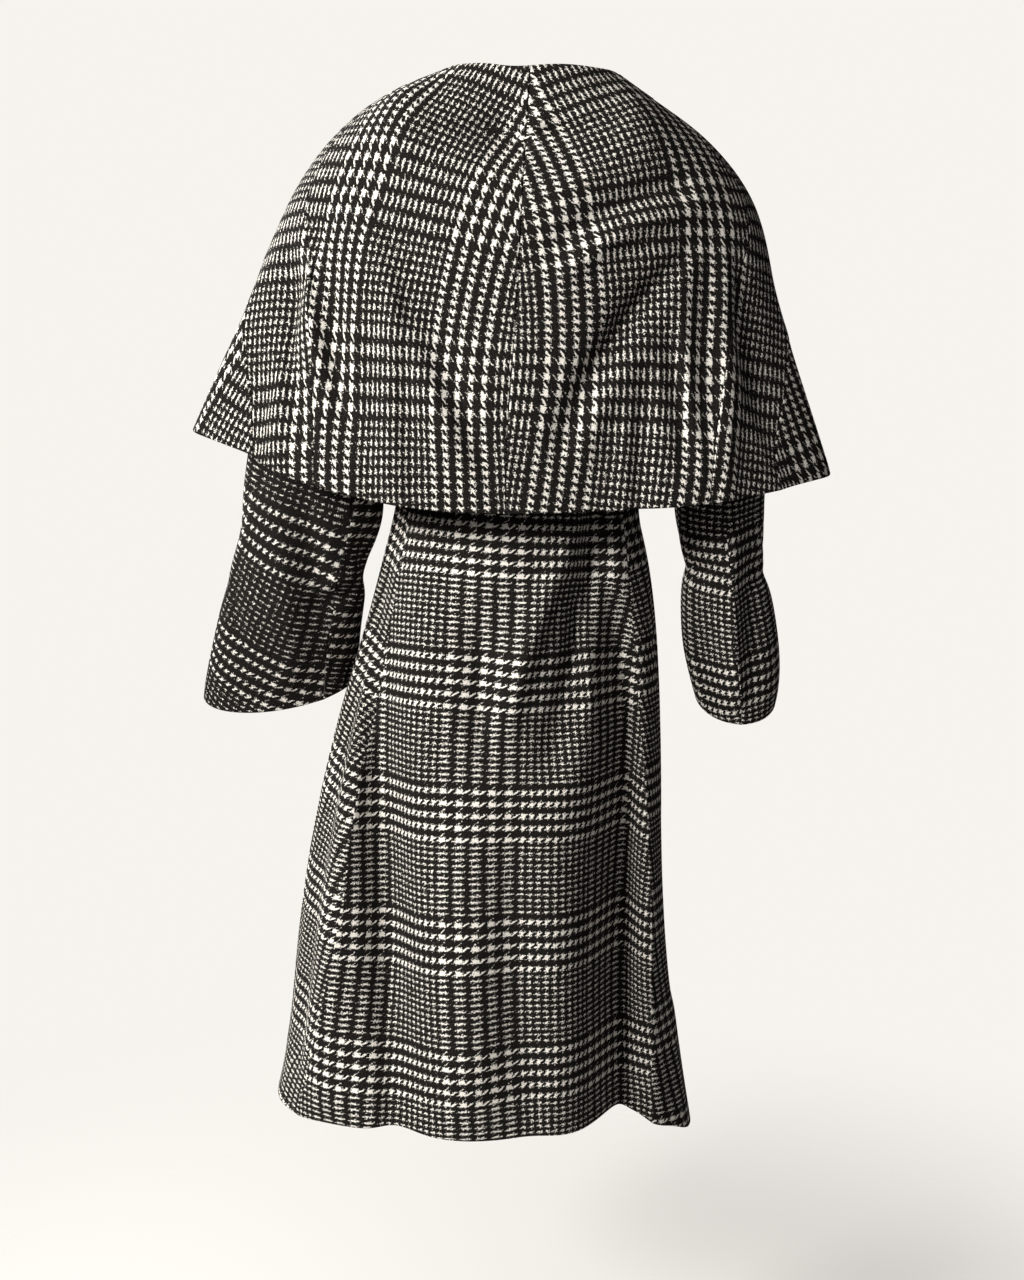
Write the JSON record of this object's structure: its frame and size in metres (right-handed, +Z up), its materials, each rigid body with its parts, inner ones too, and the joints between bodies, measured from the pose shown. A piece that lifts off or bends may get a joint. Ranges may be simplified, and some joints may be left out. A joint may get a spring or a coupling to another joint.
{
  "type": "cape coat",
  "caption": "Knee-length A-line wool coat with an attached shoulder cape and wide bell sleeves, hollow in its worn form and open at the neck, cuffs and hem.",
  "frame": {"origin": "middle of the neck opening, level with the back of the neckline, where the wearer's neck and shoulders hold the coat", "axes": "+Z up along the wearer's height, -Y to the front, +X to the wearer's left"},
  "size_m": [0.6299, 0.365, 1.0552],
  "materials": {
    "checked_wool": "matt brushed wool coating in a traditional black and off-white glen check"
  },
  "bodies": {
    "root": {"coat_back_bodice": "checked_wool", "coat_front_left_bodice": "checked_wool", "coat_front_right_bodice": "checked_wool", "coat_back_skirt": "checked_wool", "coat_front_left_skirt": "checked_wool", "coat_front_right_skirt": "checked_wool", "cape_back_left": "checked_wool", "cape_side_left": "checked_wool", "cape_front_left": "checked_wool", "cape_back_right": "checked_wool", "cape_side_right": "checked_wool", "cape_front_right": "checked_wool", "sleeve_left_upper": "checked_wool", "sleeve_left_under": "checked_wool", "sleeve_right_upper": "checked_wool", "sleeve_right_under": "checked_wool"}
  },
  "joints": []
}
